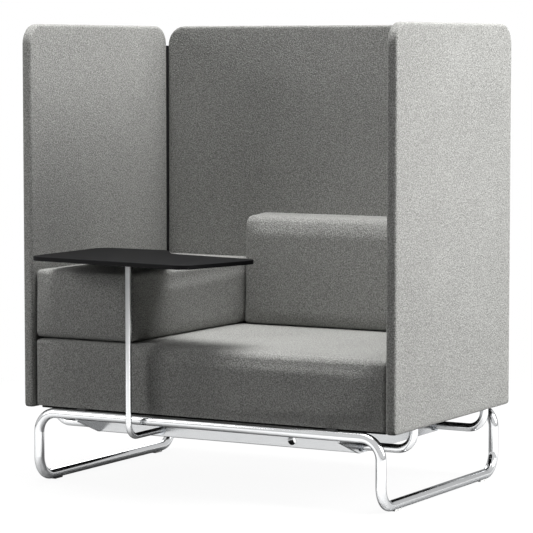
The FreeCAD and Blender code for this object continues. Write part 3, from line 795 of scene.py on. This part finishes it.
@dataclass
class BackrestBlock(PaddedBlock):
    """Backrest block: broad soft top, rounded end beside the arm, tight crease over the seat."""

    corner: float = 0.026
    corner_steps: int = 6
    rim: float = 0.020
    rim_steps: int = 6
    foot: float = 0.012
    foot_steps: int = 3
    swell: float = 0.006
    lean: float = 0.012
    lean_height: float = 0.075
    held_below: float = 0.012
    held_behind: float = 0.03
    held_beside: float = 0.008

    def form(self, bm: BMesh) -> None:
        """Round a block, cut it into a net, swell its front and lay its top edge back.

        Args:
            bm: The empty mesh.
        """
        low, high = self.low.copy(), self.high.copy()
        low.y += self.swell
        start_block(bm, low, high)
        front, back = low.y + TIGHT, high.y - TIGHT
        bottom, top = low.z + TIGHT, high.z - TIGHT
        tops = edges_where(bm, lambda p: p.z > top)
        tops = [e for e in tops if span(e, Axis.Y) > self.rim]
        round_edges(bm, tops, self.corner, self.corner_steps)
        rims = edges_without(edges_where(bm, lambda p: p.y < front), lambda p: p.z < bottom)
        round_edges(bm, rims, self.rim, self.rim_steps)
        lower = edges_without(edges_where(bm, lambda p: p.z < bottom), lambda p: p.y > back)
        round_edges(bm, lower, self.foot, self.foot_steps)
        cut_net(bm, self.pitch)
        middle, half = (low + high) / 2, (high - low) / 2
        for v in bm.verts:
            p = v.co
            across = dome((p.x - middle.x) / half.x)
            tall = dome((p.z - middle.z) / half.z)
            forward = ease((middle.y - p.y) / half.y)
            p.y -= self.swell * across * tall * forward
            laid = max(0.0, (p.z - high.z + self.lean_height) / self.lean_height)
            p.y += self.lean * laid * laid * forward

    def held(self, point: Vector) -> bool:
        """The block is fixed below, behind and at the side panel.

        Args:
            point: A point of the cover.

        Returns:
            Whether it is fixed there.
        """
        below = point.z < self.low.z + self.held_below
        behind = point.y > self.high.y - self.held_behind
        beside = point.x > self.high.x - self.held_beside
        return below or behind or beside


@dataclass
class PanelCover(SoftPiece):
    """Upholstered panel: thin padding drawn tight over an upright board with rounded corners."""

    normal: Axis = Axis.X
    corner: float = 0.060
    corner_steps: int = 9
    foot: float = 0.010
    foot_steps: int = 3
    edge: float = 0.0085
    edge_steps: int = 4
    swell: float = 0.0011
    ripple: float = 0.00022
    ripple_size: float = 0.14
    fill: float = 0.95
    pitch: float = 0.028

    def form(self, bm: BMesh) -> None:
        """Draw the panel's outline, raise it to its thickness, round its rims and swell it.

        Args:
            bm: The empty mesh.
        """
        low, high = self.low, self.high
        across = self.normal.value
        length = Axis.Y.value if self.normal is Axis.X else Axis.X.value
        start, end = low[across] + self.swell, high[across] - self.swell
        self.draw_outline(bm, across, length, start)
        raised = bmesh.ops.extrude_face_region(bm, geom=bm.faces[:])
        step = Vector((0, 0, 0))
        step[across] = end - start
        far_side = [g for g in raised["geom"] if isinstance(g, bmesh.types.BMVert)]
        bmesh.ops.translate(bm, vec=step, verts=far_side)
        bmesh.ops.recalc_face_normals(bm, faces=bm.faces)
        rims = edges_where(bm, lambda p: p[across] < start + TIGHT)
        rims += edges_where(bm, lambda p: p[across] > end - TIGHT)
        round_edges(bm, rims, self.edge, self.edge_steps)
        cut_net(bm, self.pitch)
        middle, half = (low + high) / 2, (high - low) / 2
        for v in bm.verts:
            p = v.co
            side = (p[across] - middle[across]) / half[across]
            rise = (dome((p[length] - middle[length]) / half[length])
                    * dome((p.z - middle.z) / half.z))
            wave = noise.noise(p / self.ripple_size)
            out = math.copysign(1.0, side) * ease(abs(side))
            p[across] += out * rise * (self.swell + self.ripple * wave)

    def draw_outline(self, bm: BMesh, across: int, length: int, start: float) -> None:
        """Draw the panel's outline as one face and round its corners.

        Args:
            bm: The empty mesh.
            across: Index of the axis across the panel.
            length: Index of the axis along it.
            start: Place of the face on the axis across.
        """
        low, high = self.low, self.high
        ring = []
        for along, z in ((low[length], low.z), (high[length], low.z),
                         (high[length], high.z), (low[length], high.z)):
            point = Vector((0, 0, z))
            point[across] = start
            point[length] = along
            ring.append(bm.verts.new(point))
        bm.faces.new(ring)
        for corners, radius, steps in ((ring[:2], self.foot, self.foot_steps),
                                       (ring[2:], self.corner, self.corner_steps)):
            bmesh.ops.bevel(bm, geom=corners, offset=radius, offset_type="OFFSET", segments=steps,
                            profile=0.5, affect="VERTICES", material=-1)


# Sub-assemblies

@dataclass
class SledBase:
    """Bright tube base with its glides and inner spigots."""

    tubes: tuple[str, ...] = ("front_frame_tube", "rear_frame_tube")
    inner: tuple[str, ...] = ("runner_spigots", "spigot_screws")
    glides: tuple[str, ...] = ("floor_glides",)

    def build(self) -> None:
        """Dress the base."""
        dress(self.tubes, CHROME)
        dress(self.inner, ZINC)
        dress(self.glides, PALE_PLASTIC)


@dataclass
class UnderFrame:
    """Beams, posts and fixings between the base, the panels and the seat."""

    beams: tuple[str, ...] = ("left_side_beam", "right_side_beam", "front_cross_beam",
                              "rear_cross_beam", "socket_sleeves", "seat_brackets")
    posts: tuple[str, ...] = ("left_panel_posts", "right_panel_posts")
    fixings: tuple[str, ...] = ("post_screws", "post_shims", "seat_bolts", "arm_set_screw",
                                "post_collars")
    pads: tuple[str, ...] = ("seat_pads",)

    def build(self) -> None:
        """Dress the beams, posts and fixings."""
        dress(self.beams, SATIN)
        dress(self.posts, CHROME)
        dress(self.fixings, ZINC)
        dress(self.pads, RUBBER)


@dataclass
class PrivacyPanels:
    """Three high panels, their boards and the dark angles in the corners between them."""

    sides: tuple[str, ...] = ("left_panel", "right_panel")
    back: str = "back_panel"
    angles: tuple[str, ...] = ("left_corner_angle", "right_corner_angle", "corner_screws")

    def build(self) -> None:
        """Make the covers and dress what they hold."""
        for side in self.sides:
            PanelCover(side + "_upholstery", side + "_cover", normal=Axis.X).build()
        PanelCover(self.back + "_upholstery", self.back + "_cover", normal=Axis.Y).build()
        dress([name + "_board" for name in self.sides + (self.back,)], BOARD)
        dress(self.angles, LACQUER)


@dataclass
class SeatGroup:
    """Seat, arm and backrest blocks over their boards."""

    boards: tuple[str, ...] = ("arm_frame", "backrest_board")
    base_board: tuple[str, ...] = ("seat_board", "seat_battens")
    pins: tuple[str, ...] = ("block_pins",)

    def build(self) -> None:
        """Make the three blocks and dress what they hold."""
        SeatBlock("seat_upholstery", "seat_cushion").build()
        ArmBlock("arm_upholstery", "arm_cushion").build()
        BackrestBlock("backrest_upholstery", "backrest_cushion").build()
        dress(self.boards, BOARD)
        dress(self.base_board, DARK_BOARD)
        dress(self.pins, ZINC)


@dataclass
class WritingTablet:
    """Tablet, the swivel under it and the bent tube that carries it."""

    arm: tuple[str, ...] = ("table_arm",)
    top: tuple[str, ...] = ("tablet_top",)
    socket: tuple[str, ...] = ("arm_socket_bush",)
    bushes: tuple[str, ...] = ("arm_end_plug", "swivel_bush")
    flange: tuple[str, ...] = ("tablet_flange", "tablet_screws")

    def build(self) -> None:
        """Dress the tablet and its arm."""
        dress(self.arm, CHROME)
        dress(self.top, LAMINATE)
        dress(self.socket, ZINC)
        dress(self.bushes, PLASTIC)
        dress(self.flange, LACQUER)


# Studio

@dataclass
class Lamp:
    """One soft square lamp aimed at a point, sizes in metres and power in watts."""

    name: str
    place: Triple
    target: Triple
    side: float
    power: float

    def build(self) -> None:
        """Hang the lamp."""
        light = bpy.data.lights.new(self.name, "AREA")
        light.shape = "SQUARE"
        light.size = self.side
        light.energy = self.power
        lamp = bpy.data.objects.new(self.name, light)
        aim = (Vector(self.target) - Vector(self.place)).to_track_quat("-Z", "Y")
        lamp.matrix_world = Matrix.Translation(self.place) @ aim.to_matrix().to_4x4()
        bpy.context.scene.collection.objects.link(lamp)
        LOG.info("%s: %.0f W", self.name, self.power)


@dataclass
class Studio:
    """Pale floor, white surround, lamps and the camera; metres, and degrees for the camera.

    To the eye the floor is almost white near the chair, where it keeps a faint shadow, and clears
    to pure white. In the metal it shows as a lit pale floor, and it throws little light up.
    """

    floor_name: str = "pale_floor"
    floor_side: float = 120.0
    floor_white: float = 0.94
    floor_pale: float = 0.9
    floor_bounce: float = 0.03
    mirrored_white: float = 0.08
    clear_from: float = 1.0
    clear_to: float = 2.6
    ambient: float = 0.02
    sensor_mm: float = 36.0
    lens_mm: float = 174.53
    clip_end: float = 200.0
    camera_place: Triple = (3.7502, -6.6225, 1.2733)
    camera_tip: float = 90.0 - 4.7156
    camera_turn: float = 29.2856
    lamps: tuple[Lamp, ...] = (
        Lamp("overhead_softbox", (0.2, 0.1, 6.5), (0.0, 0.2, 0.4), 4.5, 510.0),
        Lamp("far_overhead_softbox", (0.1, 0.0, 9.0), (0.0, 0.0, 0.4), 3.0, 340.0),
        Lamp("right_softbox", (4.0, 1.1, 1.7), (0.6, 0.0, 0.8), 1.8, 132.0),
        Lamp("high_right_softbox", (3.7, 0.2, 2.55), (0.4, 0.0, 0.9), 1.6, 112.0),
        Lamp("left_front_softbox", (-2.4, -2.5, 1.6), (-0.2, -0.2, 0.6), 1.6, 48.0),
        Lamp("rear_softbox", (-2.6, 4.2, 2.2), (0.0, 0.3, 0.8), 2.0, 110.0),
    )

    def seen(self, tree: Tree) -> Socket:
        """Tell rays that show the surround from rays that light the chair.

        Args:
            tree: The node tree to work in.

        Returns:
            A value that is above 0 for camera, glossy and transmission rays.
        """
        path = add_node(tree, "ShaderNodeLightPath")
        direct = add_node(tree, "ShaderNodeMath", {"operation": "MAXIMUM"},
                          {0: path.outputs["Is Camera Ray"], 1: path.outputs["Is Glossy Ray"]})
        both = add_node(tree, "ShaderNodeMath", {"operation": "MAXIMUM"},
                        {0: direct.outputs["Value"], 1: path.outputs["Is Transmission Ray"]})
        return both.outputs["Value"]

    def surround(self) -> None:
        """Make the world white to the eye and dim as a light."""
        world = bpy.data.worlds.new("white_surround")
        world.use_nodes = True
        bpy.context.scene.world = world
        tree = world.node_tree
        background = tree.nodes["Background"]
        level = add_node(tree, "ShaderNodeMapRange", {"To Min": self.ambient, "To Max": 1.0},
                         {"Value": self.seen(tree)})
        tree.links.new(level.outputs["Result"], background.inputs["Strength"])
        background.inputs["Color"].default_value = WHITE

    def floor_material(self) -> bpy.types.Material:
        """Make the floor's material.

        Returns:
            The material.
        """
        material = bpy.data.materials.new(self.floor_name)
        material.use_nodes = True
        tree = material.node_tree
        tree.nodes.remove(tree.nodes["Principled BSDF"])
        place = add_node(tree, "ShaderNodeTexCoord").outputs["Object"]
        far = add_node(tree, "ShaderNodeVectorMath", {"operation": "LENGTH"}, {0: place})
        white = add_node(tree, "ShaderNodeMapRange",
                         {"From Min": self.clear_from, "From Max": self.clear_to,
                          "To Min": self.floor_white, "To Max": 1.0},
                         {"Value": far.outputs["Value"]})
        path = add_node(tree, "ShaderNodeLightPath")
        share = add_node(tree, "ShaderNodeMapRange",
                         {"To Min": self.mirrored_white, "To Max": 1.0},
                         {"Value": path.outputs["Is Camera Ray"]})
        level = add_node(tree, "ShaderNodeMath", {"operation": "MULTIPLY"},
                         {0: white.outputs["Result"], 1: share.outputs["Result"]})
        pale, dim = (add_node(tree, "ShaderNodeBsdfDiffuse", {"Color": (grey, grey, grey, 1.0)})
                     for grey in (self.floor_pale, self.floor_bounce))
        glow = add_node(tree, "ShaderNodeEmission", {"Color": WHITE, "Strength": 1.0})
        shown = add_node(tree, "ShaderNodeMixShader", None,
                         {0: level.outputs["Value"], 1: pale.outputs["BSDF"],
                          2: glow.outputs["Emission"]})
        surface = add_node(tree, "ShaderNodeMixShader", None,
                           {0: self.seen(tree), 1: dim.outputs["BSDF"],
                            2: shown.outputs["Shader"]})
        output = tree.nodes["Material Output"]
        tree.links.new(surface.outputs["Shader"], output.inputs["Surface"])
        return material

    def floor(self) -> None:
        """Lay the floor."""
        bm = bmesh.new()
        bmesh.ops.create_grid(bm, x_segments=2, y_segments=2, size=self.floor_side / 2)
        mesh = bpy.data.meshes.new(self.floor_name)
        bm.to_mesh(mesh)
        bm.free()
        mesh.materials.append(self.floor_material())
        floor = bpy.data.objects.new(self.floor_name, mesh)
        bpy.context.scene.collection.objects.link(floor)

    def camera(self) -> None:
        """Set the camera where the photograph was taken from."""
        data = bpy.data.cameras.new("camera")
        data.lens = self.lens_mm
        data.sensor_width = self.sensor_mm
        data.sensor_fit = "HORIZONTAL"
        data.clip_end = self.clip_end
        camera = bpy.data.objects.new("camera", data)
        turn = Matrix.Rotation(math.radians(self.camera_turn), 4, "Z")
        tip = Matrix.Rotation(math.radians(self.camera_tip), 4, "X")
        camera.matrix_world = Matrix.Translation(self.camera_place) @ turn @ tip
        bpy.context.scene.collection.objects.link(camera)
        bpy.context.scene.camera = camera

    def build(self) -> None:
        """Set up the whole studio."""
        bpy.context.scene.view_settings.view_transform = "Standard"
        self.surround()
        self.floor()
        for lamp in self.lamps:
            lamp.build()
        self.camera()


def main() -> None:
    """Build the chair and the studio in order."""
    logging.basicConfig(level=logging.INFO, format="%(name)s: %(message)s")
    Studio().build()
    for part in (SledBase(), UnderFrame(), PrivacyPanels(), SeatGroup(), WritingTablet()):
        part.build()
        LOG.info("%s done", type(part).__name__)


if __name__ == "__main__":
    main()
